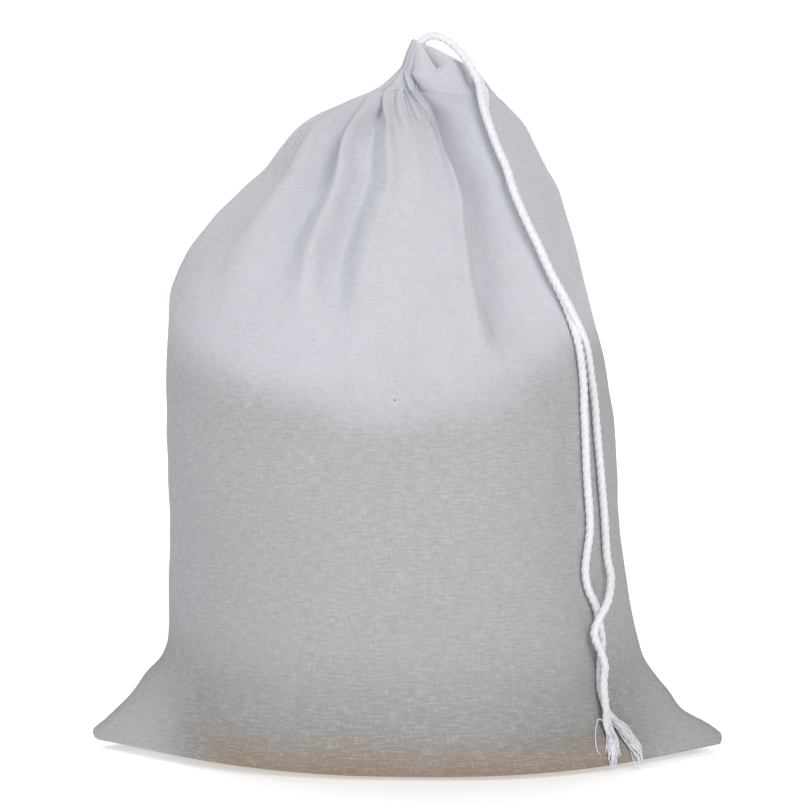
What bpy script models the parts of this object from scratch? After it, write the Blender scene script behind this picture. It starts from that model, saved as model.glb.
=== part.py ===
"""Drawstring strainer bag of cotton muslin, filled out and standing on its base.

Metres, +Z up. The origin is on the floor under the middle of the two bottom corners.
-Y is the front, where the drawstring hangs. Turns are counted in degrees from the right
side (+X), counter-clockwise seen from above: 90 is the back, 180 the left, 270 the front.
"""

import math

import bmesh
import bpy
from mathutils import Vector

# The filled bag
STITCH_HEIGHT = 0.2055      # floor to the hem's stitch line, at the middle of the neck
FILL_HEIGHT = 0.1165        # floor to the level where the shoulders start
CORNER_HEIGHT = 0.0350      # floor to where the two bottom corners end in the sides
BODY_WIDTH = 0.1395
BODY_DEPTH = 0.1180
CORNER_SPAN = 0.1965        # from the tip of one bottom corner to the other
CORNER_FORWARD = 0.0070     # how far the right corner lies before the left one
CLOTH_WALL = 0.0015
CORNER_WALL = 0.0022        # cloth and seam at a corner's tip
SEAM_HALF = 0.0014          # half the thickness of the pressed seam at a corner

# The neck, where the hem is stitched
NECK_WIDTH = 0.0345
NECK_DEPTH = 0.0230
NECK_SHIFT = 0.0088         # the neck stands to the right of the base's middle
NECK_LEAN = 0.0015          # the stitch line is this much higher on the left

# The hem with its tunnel
HEM_RISE = 0.0105           # stitch line to top edge, at the middle
MOUTH_WIDTH = 0.0190
MOUTH_DEPTH = 0.0152
MOUTH_SHIFT = 0.0112
MOUTH_LEAN = 0.0042
HEM_WALL = 0.0010           # each side of the tunnel
HEM_EDGE = 0.0022           # the folded cloth at the top edge
TUNNEL_HEIGHT = 0.46        # of the hem's rise
TUNNEL_POINTS = 36
NOTCH_DEPTH = 0.0030        # the dip at the seam, between the two places where the cord leaves
NOTCH_TURN = 258.0
NOTCH_SPREAD = 16.0

# The gathers
FOLD_DEPTH = 0.0036
FOLD_RISE = 0.30            # the shoulder height over which a fold deepens
RUFFLES = 13
RUFFLE_DEPTH = 0.0007
NECK_FLATTENS = 0.55        # how much of each fold the stitching presses flat

# The drawstring
CORD_DIAMETER = 0.0025
TUNNEL_CLEARANCE = 0.0005
PIECE_GAP = 0.0003
ARCH_STEP = 0.0034          # from one point of a curve to the next, over the mouth
HANG_STEP = 0.0070          # and down the front
JOINT_STEP = 0.0008           # the first step of a piece of cord that goes on from another
JOINT_GAP = 0.0004
YARN_DIAMETER = 0.0013      # one of the three strands of an unravelled end
YARN_STEP = 0.0036
YARN_FLOOR = 0.0011         # the middle of a yarn that lies on the floor

CLOTH_COLOUR = (0.62, 0.61, 0.60, 1.0)
CORD_COLOUR = (0.80, 0.79, 0.83, 1.0)

BODY_HALF = BODY_WIDTH / 2
DEPTH_HALF = BODY_DEPTH / 2
CORD_RADIUS = CORD_DIAMETER / 2
TUNNEL_RADIUS = CORD_RADIUS + TUNNEL_CLEARANCE
TUNNEL_INSET = HEM_WALL + TUNNEL_RADIUS

# The base and its corners. height is a share of CORNER_HEIGHT, left and right reach from the
# body's side (0) to the corner's tip (1), front and back are shares of half BODY_DEPTH, pinch
# is 0 for an oval and 1 for sides pressed to a seam, forward is a share of CORNER_FORWARD.
CORNER_ROWS = (
    dict(height=0.000, left=-0.10, right=-0.04, front=0.720, back=0.700, pinch=0.42, forward=0.50),
    dict(height=0.030, left=0.46, right=0.60, front=0.790, back=0.780, pinch=0.60, forward=0.80),
    dict(height=0.080, left=0.96, right=0.99, front=0.835, back=0.830, pinch=0.75, forward=1.00),
    dict(height=0.150, left=1.00, right=1.00, front=0.868, back=0.868, pinch=0.86, forward=1.00),
    dict(height=0.245, left=0.85, right=0.86, front=0.900, back=0.900, pinch=0.95, forward=0.95),
    dict(height=0.390, left=0.62, right=0.51, front=0.930, back=0.930, pinch=0.93, forward=0.75),
    dict(height=0.540, left=0.43, right=0.36, front=0.952, back=0.952, pinch=0.82, forward=0.50),
    dict(height=0.680, left=0.29, right=0.20, front=0.970, back=0.970, pinch=0.62, forward=0.30),
    dict(height=0.840, left=0.08, right=0.06, front=0.986, back=0.986, pinch=0.40, forward=0.15),
)

# The full body. height runs from CORNER_HEIGHT (0) to FILL_HEIGHT (1), left and right are
# shares of half BODY_WIDTH, front and back of half BODY_DEPTH.
BODY_ROWS = (
    dict(height=0.00, left=1.069, right=1.034, front=0.994, back=0.994, pinch=0.26),
    dict(height=0.16, left=1.061, right=0.994, front=1.000, back=1.000, pinch=0.12),
    dict(height=0.38, left=1.055, right=0.957, front=1.000, back=1.000, pinch=0.03),
    dict(height=0.62, left=1.059, right=0.939, front=1.000, back=1.000, pinch=0.00),
    dict(height=0.84, left=1.068, right=0.922, front=0.998, back=1.000, pinch=0.00),
    dict(height=1.00, left=1.065, right=0.893, front=0.984, back=0.992, pinch=0.00),
)

# The shoulders. height runs from FILL_HEIGHT (0) to the stitch line (1), the four reaches
# from the neck (0) to the body's top row (1), lean is a share of NECK_LEAN.
SHOULDER_ROWS = (
    dict(height=0.070, left=0.998, right=0.965, front=0.955, back=0.970, lean=0.0),
    dict(height=0.150, left=0.993, right=0.914, front=0.905, back=0.925, lean=0.0),
    dict(height=0.295, left=0.983, right=0.815, front=0.815, back=0.835, lean=0.0),
    dict(height=0.370, left=0.946, right=0.766, front=0.770, back=0.785, lean=0.0),
    dict(height=0.440, left=0.890, right=0.722, front=0.725, back=0.740, lean=0.0),
    dict(height=0.510, left=0.815, right=0.678, front=0.675, back=0.690, lean=0.0),
    dict(height=0.585, left=0.720, right=0.622, front=0.618, back=0.630, lean=0.0),
    dict(height=0.660, left=0.617, right=0.562, front=0.555, back=0.565, lean=0.0),
    dict(height=0.730, left=0.516, right=0.460, front=0.490, back=0.500, lean=0.1),
    dict(height=0.800, left=0.444, right=0.360, front=0.415, back=0.420, lean=0.2),
    dict(height=0.865, left=0.371, right=0.280, front=0.335, back=0.340, lean=0.4),
    dict(height=0.910, left=0.275, right=0.206, front=0.260, back=0.260, lean=0.6),
    dict(height=0.950, left=0.156, right=0.123, front=0.170, back=0.165, lean=0.8),
    dict(height=0.978, left=0.065, right=0.055, front=0.080, back=0.075, lean=0.9),
    dict(height=1.000, left=0.000, right=0.000, front=0.000, back=0.000, lean=1.0),
)

# The hem's outer face. height runs from the stitch line (0) to the top edge (1), narrow from
# the neck's size (0) to the mouth's (1), swell is how much of HEM_WALL it stands out.
HEM_ROWS = (
    dict(height=0.00, narrow=0.00, swell=0.0),
    dict(height=0.12, narrow=0.12, swell=0.7),
    dict(height=0.30, narrow=0.30, swell=1.2),
    dict(height=0.46, narrow=0.44, swell=1.3),
    dict(height=0.64, narrow=0.60, swell=1.1),
    dict(height=0.82, narrow=0.79, swell=0.6),
    dict(height=1.00, narrow=1.00, swell=-0.2),
)

# How the cloth's upright lines move together towards the neck: a line that has this turn on
# the body lies at the turn high near the neck and at the turn neck on the stitch line.
DRIFT_ROWS = (
    dict(turn=0.0, high=0.0, neck=0.0),
    dict(turn=90.0, high=88.0, neck=86.0),
    dict(turn=180.0, high=168.0, neck=156.0),
    dict(turn=241.0, high=221.0, neck=205.0),
    dict(turn=262.0, high=236.0, neck=219.0),
    dict(turn=275.0, high=256.0, neck=236.0),
    dict(turn=286.0, high=267.0, neck=247.0),
    dict(turn=303.0, high=280.0, neck=259.0),
    dict(turn=360.0, high=360.0, neck=360.0),
)
DRIFT_HIGH = 0.90           # the shoulder height of the column high

# The main folds of the gathers, each a valley along one upright line of the cloth, with a
# ridge on either side. left and right are how many degrees its flanks take, depth is a share
# of FOLD_DEPTH and foot the shoulder height where it starts.
FOLDS = (
    dict(turn=206.0, left=13.0, right=15.0, depth=0.35, foot=0.30),
    dict(turn=241.0, left=18.0, right=7.5, depth=0.85, foot=0.14),
    dict(turn=262.0, left=6.5, right=6.5, depth=0.75, foot=0.06),
    dict(turn=275.0, left=5.0, right=5.0, depth=0.55, foot=0.70),
    dict(turn=286.0, left=5.0, right=7.0, depth=0.65, foot=0.52),
    dict(turn=303.0, left=8.5, right=6.0, depth=1.00, foot=0.02),
    dict(turn=30.0, left=13.0, right=14.0, depth=0.55, foot=0.20),
    dict(turn=58.0, left=12.0, right=10.0, depth=0.85, foot=0.10),
    dict(turn=84.0, left=11.0, right=11.0, depth=0.60, foot=0.30),
    dict(turn=106.0, left=10.0, right=11.0, depth=0.90, foot=0.06),
    dict(turn=132.0, left=12.0, right=13.0, depth=0.65, foot=0.24),
    dict(turn=160.0, left=13.0, right=13.0, depth=0.60, foot=0.32),
)

# The soft crease down the body beside the hanging tails. top and foot are shares of FILL_HEIGHT.
CREASE = dict(turn=323.0, left=9.0, right=6.0, depth=0.0016, top=1.12, foot=0.05)

# The rows of the sections that the inner face repeats, from the floor up.
INNER_ROWS = (0, 3, 5, 7, 9, 11, 13, 15, 17, 19, 21, 23, 25, 27, 29)

# The hem's inner face, from the top down: height as in HEM_ROWS, wall is how far in it lies.
HEM_INNER_ROWS = (
    dict(height=1.00, wall=HEM_EDGE),
    dict(height=0.75, wall=2 * TUNNEL_INSET - 0.0006),
    dict(height=0.46, wall=2 * TUNNEL_INSET),
    dict(height=0.20, wall=2 * TUNNEL_INSET - 0.0004),
    dict(height=0.00, wall=0.0030),
)

# The two free tails. leaves is the upright line of the cloth at which a tail starts in the
# tunnel, air its way out and over the hem, at x, y and a rise above the stitch line, and cloth
# its way down the front, where lift is the distance of the cord's middle from the cloth, in
# cord diameters. Each yarn of the unravelled end passes the points x, z, lift of cloth, with
# its lift in yarn diameters, and ends on the floor at x, y.
TAILS = (
    dict(
        name="cord_tail_arched", fray="frayed_end_left", leaves=226.0,
        air=(
            (0.0004, -0.0042, 0.0097), (0.0036, -0.0040, 0.0137), (0.0054, -0.0042, 0.0158),
            (0.0080, -0.0048, 0.0167), (0.0117, -0.0057, 0.0157), (0.0148, -0.0072, 0.0134),
            (0.0172, -0.0092, 0.0108), (0.0196, -0.0116, 0.0075), (0.0213, -0.0130, 0.0040),
        ),
        cloth=(
            dict(x=0.0226, z=0.2045, lift=1.50), dict(x=0.0249, z=0.1985, lift=1.50),
            dict(x=0.0280, z=0.1895, lift=1.50), dict(x=0.0311, z=0.1820, lift=1.50),
            dict(x=0.0333, z=0.1760, lift=1.50), dict(x=0.0367, z=0.1675, lift=1.50),
            dict(x=0.0403, z=0.1595, lift=1.50), dict(x=0.0436, z=0.1515, lift=1.45),
            dict(x=0.0466, z=0.1450, lift=1.40), dict(x=0.0492, z=0.1390, lift=1.30),
            dict(x=0.0534, z=0.1295, lift=0.95), dict(x=0.0550, z=0.1190, lift=0.66),
            dict(x=0.0558, z=0.1110, lift=0.64), dict(x=0.0565, z=0.1025, lift=0.64),
            dict(x=0.0577, z=0.0905, lift=0.64), dict(x=0.0590, z=0.0755, lift=0.64),
            dict(x=0.0596, z=0.0650, lift=0.70), dict(x=0.0598, z=0.0580, lift=1.35),
            dict(x=0.0588, z=0.0515, lift=1.90), dict(x=0.0568, z=0.0460, lift=1.75),
            dict(x=0.0566, z=0.0415, lift=1.30), dict(x=0.0584, z=0.0360, lift=1.50),
            dict(x=0.0592, z=0.0310, lift=1.70), dict(x=0.0588, z=0.0265, lift=1.70),
            dict(x=0.0592, z=0.0225, lift=1.60), dict(x=0.0600, z=0.0185, lift=1.50),
        ),
        yarns=(
            dict(cloth=((0.0597, 0.0125, 1.4), (0.0602, 0.0080, 1.1)), floor=(0.0604, -0.0412)),
            dict(cloth=((0.0620, 0.0122, 1.4), (0.0628, 0.0080, 1.1)), floor=(0.0633, -0.0398)),
            dict(cloth=((0.0640, 0.0124, 1.4), (0.0652, 0.0080, 1.1)), floor=(0.0663, -0.0380)),
        ),
    ),
    dict(
        name="cord_tail_short", fray="frayed_end_right", leaves=330.0,
        air=(
            (0.0142, -0.0096, 0.0051), (0.0140, -0.0121, 0.0044), (0.0154, -0.0136, 0.0027),
            (0.0178, -0.0134, 0.0007),
        ),
        cloth=(
            dict(x=0.0204, z=0.2040, lift=0.68), dict(x=0.0230, z=0.1985, lift=0.66),
            dict(x=0.0261, z=0.1895, lift=0.64), dict(x=0.0292, z=0.1820, lift=0.64),
            dict(x=0.0314, z=0.1760, lift=0.64), dict(x=0.0348, z=0.1675, lift=0.64),
            dict(x=0.0384, z=0.1595, lift=0.64), dict(x=0.0417, z=0.1515, lift=0.64),
            dict(x=0.0447, z=0.1450, lift=0.64), dict(x=0.0471, z=0.1390, lift=0.64),
            dict(x=0.0503, z=0.1295, lift=0.64), dict(x=0.0519, z=0.1190, lift=0.64),
            dict(x=0.0525, z=0.1110, lift=0.64), dict(x=0.0530, z=0.1025, lift=0.64),
            dict(x=0.0536, z=0.0905, lift=0.64), dict(x=0.0546, z=0.0755, lift=0.64),
            dict(x=0.0538, z=0.0670, lift=0.64), dict(x=0.0532, z=0.0610, lift=0.64),
            dict(x=0.0548, z=0.0555, lift=0.64), dict(x=0.0578, z=0.0500, lift=0.64),
            dict(x=0.0598, z=0.0440, lift=0.64), dict(x=0.0609, z=0.0385, lift=0.64),
            dict(x=0.0607, z=0.0340, lift=0.64), dict(x=0.0604, z=0.0290, lift=0.64),
            dict(x=0.0606, z=0.0235, lift=0.64), dict(x=0.0616, z=0.0185, lift=0.64),
        ),
        yarns=(
            dict(cloth=((0.0664, 0.0138, 1.2), (0.0686, 0.0085, 1.5)), floor=(0.0698, -0.0360)),
            dict(cloth=((0.0676, 0.0146, 1.2), (0.0706, 0.0094, 1.8)), floor=(0.0728, -0.0342)),
            dict(cloth=((0.0688, 0.0155, 1.2), (0.0726, 0.0104, 2.0)), floor=(0.0758, -0.0324)),
        ),
    ),
)

# Where the facets' columns stand: the turn at which a stretch starts and the step within it.
COLUMN_STRETCHES = (
    dict(start=0.0, step=6.0),
    dict(start=228.0, step=2.8),
    dict(start=312.0, step=4.0),
    dict(start=336.0, step=6.0),
)


def smooth_step(value):
    value = min(max(value, 0.0), 1.0)
    return value * value * (3 - 2 * value)


def mix(start, end, share):
    return start + (end - start) * share


def turn_between(turn, centre):
    """The signed way from centre to turn, in degrees, from -180 to 180."""
    return (turn - centre + 180.0) % 360.0 - 180.0


def body_section(row):
    """A section of the body from its row: its height, reaches and shape, in metres."""
    return dict(
        z=mix(CORNER_HEIGHT, FILL_HEIGHT, row["height"]),
        left=row["left"] * BODY_HALF, right=row["right"] * BODY_HALF,
        front=row["front"] * DEPTH_HALF, back=row["back"] * DEPTH_HALF,
        pinch=row["pinch"], forward=0.0, lean=0.0, shoulder=0.0, hem=0.0,
    )


def corner_section(row):
    side = body_section(BODY_ROWS[0])
    tip = CORNER_SPAN / 2
    return dict(
        side, z=row["height"] * CORNER_HEIGHT,
        left=mix(side["left"], tip, row["left"]), right=mix(side["right"], tip, row["right"]),
        front=row["front"] * DEPTH_HALF, back=row["back"] * DEPTH_HALF,
        pinch=row["pinch"], forward=row["forward"] * CORNER_FORWARD,
    )


def shoulder_section(row):
    top = body_section(BODY_ROWS[-1])
    return dict(
        top, z=mix(FILL_HEIGHT, STITCH_HEIGHT, row["height"]),
        left=mix(NECK_WIDTH / 2 - NECK_SHIFT, top["left"], row["left"]),
        right=mix(NECK_WIDTH / 2 + NECK_SHIFT, top["right"], row["right"]),
        front=mix(NECK_DEPTH / 2, top["front"], row["front"]),
        back=mix(NECK_DEPTH / 2, top["back"], row["back"]),
        lean=row["lean"] * NECK_LEAN, shoulder=row["height"],
    )


def hem_section(height, narrow, out):
    """A section of the hem: narrow from the neck's size to the mouth's, grown by out."""
    wide = mix(NECK_WIDTH, MOUTH_WIDTH, narrow) / 2 + out
    deep = mix(NECK_DEPTH, MOUTH_DEPTH, narrow) / 2 + out
    shift = mix(NECK_SHIFT, MOUTH_SHIFT, narrow)
    return dict(
        z=STITCH_HEIGHT + height * HEM_RISE,
        left=wide - shift, right=wide + shift, front=deep, back=deep,
        pinch=0.0, forward=0.0, lean=mix(NECK_LEAN, MOUTH_LEAN, height), shoulder=1.0, hem=height,
    )


def drift(turn, shoulder):
    """Where an upright line of the cloth lies at this shoulder height, in degrees."""
    turn %= 360.0
    start, end = next(
        pair for pair in zip(DRIFT_ROWS, DRIFT_ROWS[1:]) if turn <= pair[1]["turn"]
    )
    share = (turn - start["turn"]) / (end["turn"] - start["turn"])
    high = mix(start["high"], end["high"], share)
    neck = mix(start["neck"], end["neck"], share)
    if shoulder < DRIFT_HIGH:
        return mix(turn, high, (shoulder / DRIFT_HIGH) ** 2)
    return mix(high, neck, (shoulder - DRIFT_HIGH) / (1 - DRIFT_HIGH))


def fold_offset(turn, shoulder):
    """How far the folds take the cloth out (+) or in (-) on this upright line."""
    offset = 0.0
    for fold in FOLDS:
        strength = smooth_step((shoulder - fold["foot"]) / FOLD_RISE) * fold["depth"]
        away = turn_between(turn, fold["turn"])
        reach = abs(away) / (fold["left"] if away < 0 else fold["right"])
        valley = math.exp(-1.6 * reach * reach)
        ridge = 0.35 * math.exp(-2.0 * (reach - 1.6) ** 2)
        offset += (ridge - valley) * strength
    return offset * FOLD_DEPTH


def crease_offset(turn, z):
    share = z / FILL_HEIGHT
    strength = smooth_step((share - CREASE["foot"]) / 0.25) * smooth_step((CREASE["top"] - share) / 0.3)
    away = turn_between(turn, CREASE["turn"])
    reach = abs(away) / (CREASE["left"] if away < 0 else CREASE["right"])
    return -CREASE["depth"] * strength * math.exp(-1.6 * reach * reach)


def ruffle_offset(turn, height):
    """The small gathers of the hem. They stand out only, and the right front is smooth."""
    smooth = math.exp(-(turn_between(turn, 305.0) / 60.0) ** 2)
    wave = 0.5 + 0.5 * math.cos(math.radians(turn * RUFFLES))
    return RUFFLE_DEPTH * wave * (1 - smooth) * smooth_step(height * 4)


def ring_point(section, turn, folded=True):
    """The point of a section on one upright line of the cloth."""
    angle = math.radians(drift(turn, section["shoulder"]))
    across, along = math.cos(angle), math.sin(angle)
    width = (section["left"] + section["right"]) / 2
    centre = (section["right"] - section["left"]) / 2
    depth = section["back"] if along > 0 else section["front"]
    pinch = section["pinch"]
    seam = SEAM_HALF * pinch * section.get("seam", 1.0)
    oval = max(1 - abs(across) ** (2 + pinch), 0.0) ** (0.5 + 1.1 * pinch)
    edge = max(1 - abs(across) ** 24, 0.0) ** 0.5
    side = math.copysign(1.0, along) if abs(along) > 1e-9 else 0.0
    point = Vector((centre + width * across, side * ((depth - seam) * oval + seam * edge), 0.0))
    hem = section["hem"]
    pressed = NECK_FLATTENS * smooth_step((section["shoulder"] - DRIFT_HIGH) / (1 - DRIFT_HIGH))
    folds = fold_offset(turn, section["shoulder"]) * (1 - pressed) * (1 - smooth_step(hem * 2.2))
    folds += crease_offset(turn, section["z"]) if section["shoulder"] < 0.3 else 0.0
    folds += ruffle_offset(turn, hem)
    if folded:
        point += Vector((across * depth, along * width, 0.0)).normalized() * folds
    point.z = section["z"] - section["lean"] * (point.x - centre) / width
    if hem > 0:
        spread = turn_between(math.degrees(angle), NOTCH_TURN) / NOTCH_SPREAD
        point.z -= NOTCH_DEPTH * hem * hem * math.exp(-spread * spread)
    point.y -= section["forward"] * smooth_step(0.5 + across / 2)
    return point


def inset(section, wall, tip_wall):
    """The section of the inner face: a wall thinner all round, more at a pinched corner."""
    side_wall = mix(wall, tip_wall, min(section["pinch"], 1.0))
    return dict(
        section,
        left=section["left"] - side_wall, right=section["right"] - side_wall,
        front=section["front"] - wall, back=section["back"] - wall, seam=0.0,
    )


def section_at(sections, z):
    """The section at any height, between the nearest two."""
    lower, upper = next(
        (pair for pair in zip(sections, sections[1:]) if z <= pair[1]["z"]), sections[-2:]
    )
    share = min(max((z - lower["z"]) / (upper["z"] - lower["z"]), 0.0), 1.0)
    return {name: mix(lower[name], upper[name], share) for name in lower}


def bag_sections():
    sections = [corner_section(row) for row in CORNER_ROWS]
    sections += [body_section(row) for row in BODY_ROWS]
    sections += [shoulder_section(row) for row in SHOULDER_ROWS]
    return sections


def hem_sections():
    return [hem_section(row["height"], row["narrow"], row["swell"] * HEM_WALL) for row in HEM_ROWS]


def columns():
    """The turns of the facets' columns."""
    turns = []
    for stretch, following in zip(COLUMN_STRETCHES, COLUMN_STRETCHES[1:] + (dict(start=360.0),)):
        span = following["start"] - stretch["start"]
        count = round(span / stretch["step"])
        turns += [stretch["start"] + span * i / count for i in range(count)]
    return turns


def ring_of(section, turns, folded=True):
    return [ring_point(section, turn, folded) for turn in turns]


def front_point(sections, x, z, lift):
    """The point that lies lift out from the front of the cloth, at this x and height."""
    section = section_at(sections, z)
    low, high = 200.0, 359.0
    for _ in range(40):
        middle = (low + high) / 2
        if ring_point(section, middle).x < x:
            low = middle
        else:
            high = middle
    beside = ring_point(section, low + 2.0) - ring_point(section, low - 2.0)
    lower, upper = (ring_point(section_at(sections, z + step), low) for step in (-0.004, 0.004))
    outward = beside.cross(upper - lower)
    outward.z = max(outward.z, 0.0)
    return ring_point(section, low) + outward.normalized() * lift


def collection_named(name):
    found = bpy.data.collections.new(name)
    bpy.context.scene.collection.children.link(found)
    return found


def material_of(name, colour, roughness):
    material = bpy.data.materials.new(name)
    material.use_nodes = True
    shader = material.node_tree.nodes["Principled BSDF"]
    shader.inputs["Base Color"].default_value = colour
    shader.inputs["Roughness"].default_value = roughness
    shader.inputs["Metallic"].default_value = 0.0
    return material


def add_object(name, data, collection, material=None):
    made = bpy.data.objects.new(name, data)
    collection.objects.link(made)
    if material is not None:
        data.materials.append(material)
    return made


def mesh_of(name, rings, ends):
    """The mesh through rings of points. A closed end gets a fan, and without them the last
    ring joins the first."""
    body = bmesh.new()
    rows = [[body.verts.new(point) for point in ring] for ring in rings]
    pairs = list(zip(rows, rows[1:])) + ([] if ends else [(rows[-1], rows[0])])
    count = len(rows[0])
    for lower, upper in pairs:
        for i in range(count):
            j = (i + 1) % count
            body.faces.new((lower[i], lower[j], upper[j], upper[i]))
    for row, reverse in ((rows[0], True), (rows[-1], False)) if ends else ():
        middle = body.verts.new(sum((vert.co for vert in row), Vector()) / count)
        for i in range(count):
            corners = (row[i], row[(i + 1) % count], middle)
            body.faces.new(corners[::-1] if reverse else corners)
    mesh = bpy.data.meshes.new(name)
    body.to_mesh(mesh)
    body.free()
    mesh.shade_smooth()
    mesh.set_sharp_from_angle(angle=math.radians(50))
    return mesh


def combine(target, other, operation):
    modifier = target.modifiers.new(operation.title() + " " + other.name, "BOOLEAN")
    modifier.operation = operation
    modifier.object = other
    other.hide_render = True
    other.display_type = "WIRE"


def smooth_route(points, step, before=None, after=None):
    """Points about a step apart along a smooth curve through the given ones. before and after
    are where the line comes from and goes on to, and there its first step is a short one."""
    start = before or 2 * points[0] - points[1]
    ends = [start] + points + [after or 2 * points[-1] - points[-2]]
    fine = []
    for p, q, r, s in zip(ends, ends[1:], ends[2:], ends[3:]):
        for i in range(16):
            t = i / 16
            fine.append(0.5 * (
                2 * q + (r - p) * t
                + (2 * p - 5 * q + 4 * r - s) * t ** 2
                + (3 * q - p - 3 * r + s) * t ** 3
            ))
    fine.append(points[-1])
    lengths = [0.0]
    for q, r in zip(fine, fine[1:]):
        lengths.append(lengths[-1] + (r - q).length)
    count = max(1, round(lengths[-1] / step))
    goals = [lengths[-1] * i / count for i in range(count + 1)]
    if before:
        goals.insert(1, JOINT_STEP)
    if after:
        goals.insert(-1, lengths[-1] - JOINT_STEP)
    spaced = []
    index = 0
    for goal in goals:
        while index < len(fine) - 2 and lengths[index + 1] < goal:
            index += 1
        share = (goal - lengths[index]) / (lengths[index + 1] - lengths[index])
        spaced.append(fine[index].lerp(fine[index + 1], share))
    return spaced


def tube(name, points, radius, collection, material=None, shares=None, closed=False):
    """A round tube along the points; shares gives each point's share of the radius."""
    curve = bpy.data.curves.new(name, "CURVE")
    curve.dimensions = "3D"
    curve.bevel_depth = radius
    curve.bevel_resolution = 2
    curve.use_fill_caps = not closed
    spline = curve.splines.new("POLY")
    spline.points.add(len(points) - 1)
    spline.use_cyclic_u = closed
    for i, (place, point) in enumerate(zip(spline.points, points)):
        place.co = (*point, 1.0)
        place.radius = shares[i] if shares else 1.0
    return add_object(name, curve, collection, material)


def as_mesh(made):
    """The curve object remade as a mesh, with its caps welded on."""
    graph = bpy.context.evaluated_depsgraph_get()
    mesh = bpy.data.meshes.new_from_object(made.evaluated_get(graph))
    name, collection = made.name, made.users_collection[0]
    bpy.data.objects.remove(made)
    shape = bmesh.new()
    shape.from_mesh(mesh)
    bmesh.ops.remove_doubles(shape, verts=shape.verts, dist=1e-6)
    bmesh.ops.recalc_face_normals(shape, faces=shape.faces)
    shape.to_mesh(mesh)
    shape.free()
    return add_object(name, mesh, collection)


def build_bag(parts, cloth):
    """The outer face from the floor up to the stitch line, then the inner face back down."""
    sections = bag_sections()
    turns = columns()
    rings = [ring_of(section, turns) for section in sections]
    inner = [inset(sections[i], CLOTH_WALL, CORNER_WALL) for i in INNER_ROWS]
    inner[0]["z"] = CLOTH_WALL
    rings += [ring_of(section, turns) for section in reversed(inner)]
    add_object("bag_cloth", mesh_of("bag_cloth", rings, True), parts, cloth)


def tunnel_point(turn):
    """The middle of the hem's tunnel on one upright line of the cloth."""
    section = section_at(hem_sections(), STITCH_HEIGHT + TUNNEL_HEIGHT * HEM_RISE)
    return ring_point(inset(section, TUNNEL_INSET, TUNNEL_INSET), turn, False)


def route_in_hem():
    """The middle of the cord in the tunnel, from the left tail round the back to the right one."""
    left, right = TAILS
    start, end = left["leaves"], right["leaves"] - 360.0
    count = round((start - end) / 18.0)
    around = [tunnel_point(mix(start, end, i / count)) for i in range(count + 1)]
    return smooth_route(around, ARCH_STEP, air_points(left)[0], air_points(right)[0])


def build_hem(parts, cutters, cloth):
    turns = [360.0 * i / (5 * RUFFLES) for i in range(5 * RUFFLES)]
    sections = hem_sections()
    sections[0]["z"] += PIECE_GAP
    rings = [ring_of(section, turns) for section in sections]
    for row in HEM_INNER_ROWS:
        section = section_at(sections, mix(sections[0]["z"], sections[-1]["z"], row["height"]))
        rings.append(ring_of(inset(section, row["wall"], row["wall"]), turns, False))
    hem = add_object("hem_casing", mesh_of("hem_casing", rings, False), parts, cloth)

    around = [tunnel_point(360.0 * i / TUNNEL_POINTS) for i in range(TUNNEL_POINTS)]
    tunnel = as_mesh(tube("tunnel", around, TUNNEL_RADIUS, cutters, closed=True))
    combine(hem, tunnel, "DIFFERENCE")
    for tail in TAILS:
        name = "slot_of_" + tail["name"]
        slot = as_mesh(tube(name, air_route(tail), TUNNEL_RADIUS * 1.05, cutters))
        combine(hem, slot, "DIFFERENCE")


def shorten(points, gap):
    """The points with the first one moved on along the line by gap."""
    first = points[0] + (points[1] - points[0]).normalized() * gap
    return [first] + points[1:]


def air_points(tail):
    return [Vector((x, y, STITCH_HEIGHT + rise)) for x, y, rise in tail["air"]]


def air_route(tail):
    """The middle of a tail from inside the tunnel to where it comes to lie on the cloth."""
    inside = tail["leaves"] + (-9.0 if tail["leaves"] < 270.0 else 9.0)
    points = [tunnel_point(tail["leaves"])] + air_points(tail)
    return smooth_route(points, ARCH_STEP, tunnel_point(inside))


def tail_points(tail, sections):
    """The middle of a tail: out of the tunnel, through the air, then down along the cloth."""
    air = air_route(tail)
    cloth = [
        front_point(sections, row["x"], row["z"], row["lift"] * CORD_DIAMETER)
        for row in tail["cloth"]
    ]
    hanging = smooth_route([air[-1]] + cloth, HANG_STEP, air[-2])
    return shorten(air, JOINT_GAP) + hanging[2:]


def build_cords(parts, cord, sections):
    tube("cord_in_hem", route_in_hem(), CORD_RADIUS, parts, cord)
    for tail in TAILS:
        tube(tail["name"], tail_points(tail, sections), CORD_RADIUS, parts, cord)


def build_frays(parts, cutters, cord, sections):
    """Each unravelled end: three yarns that part from one head at the end of the tail."""
    for tail in TAILS:
        points = tail_points(tail, sections)
        along = (points[-1] - points[-2]).normalized()
        head = [points[-1] + along * reach for reach in (PIECE_GAP, 0.0022)]
        middle = as_mesh(tube(tail["fray"], head, CORD_RADIUS, cutters))
        for number, yarn in enumerate(tail["yarns"], 1):
            route = [points[-1] + along * 0.0010, head[1] + along * 0.0010]
            route += [front_point(sections, x, z, YARN_DIAMETER * lift) for x, z, lift in yarn["cloth"]]
            route.append(Vector((*yarn["floor"], YARN_FLOOR)))
            spaced = smooth_route(route, YARN_STEP)
            strand = as_mesh(tube(f"{tail['fray']}_yarn_{number}", spaced, YARN_DIAMETER / 2, cutters))
            combine(middle, strand, "UNION")
        cutters.objects.unlink(middle)
        parts.objects.link(middle)
        middle.data.materials.append(cord)


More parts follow.
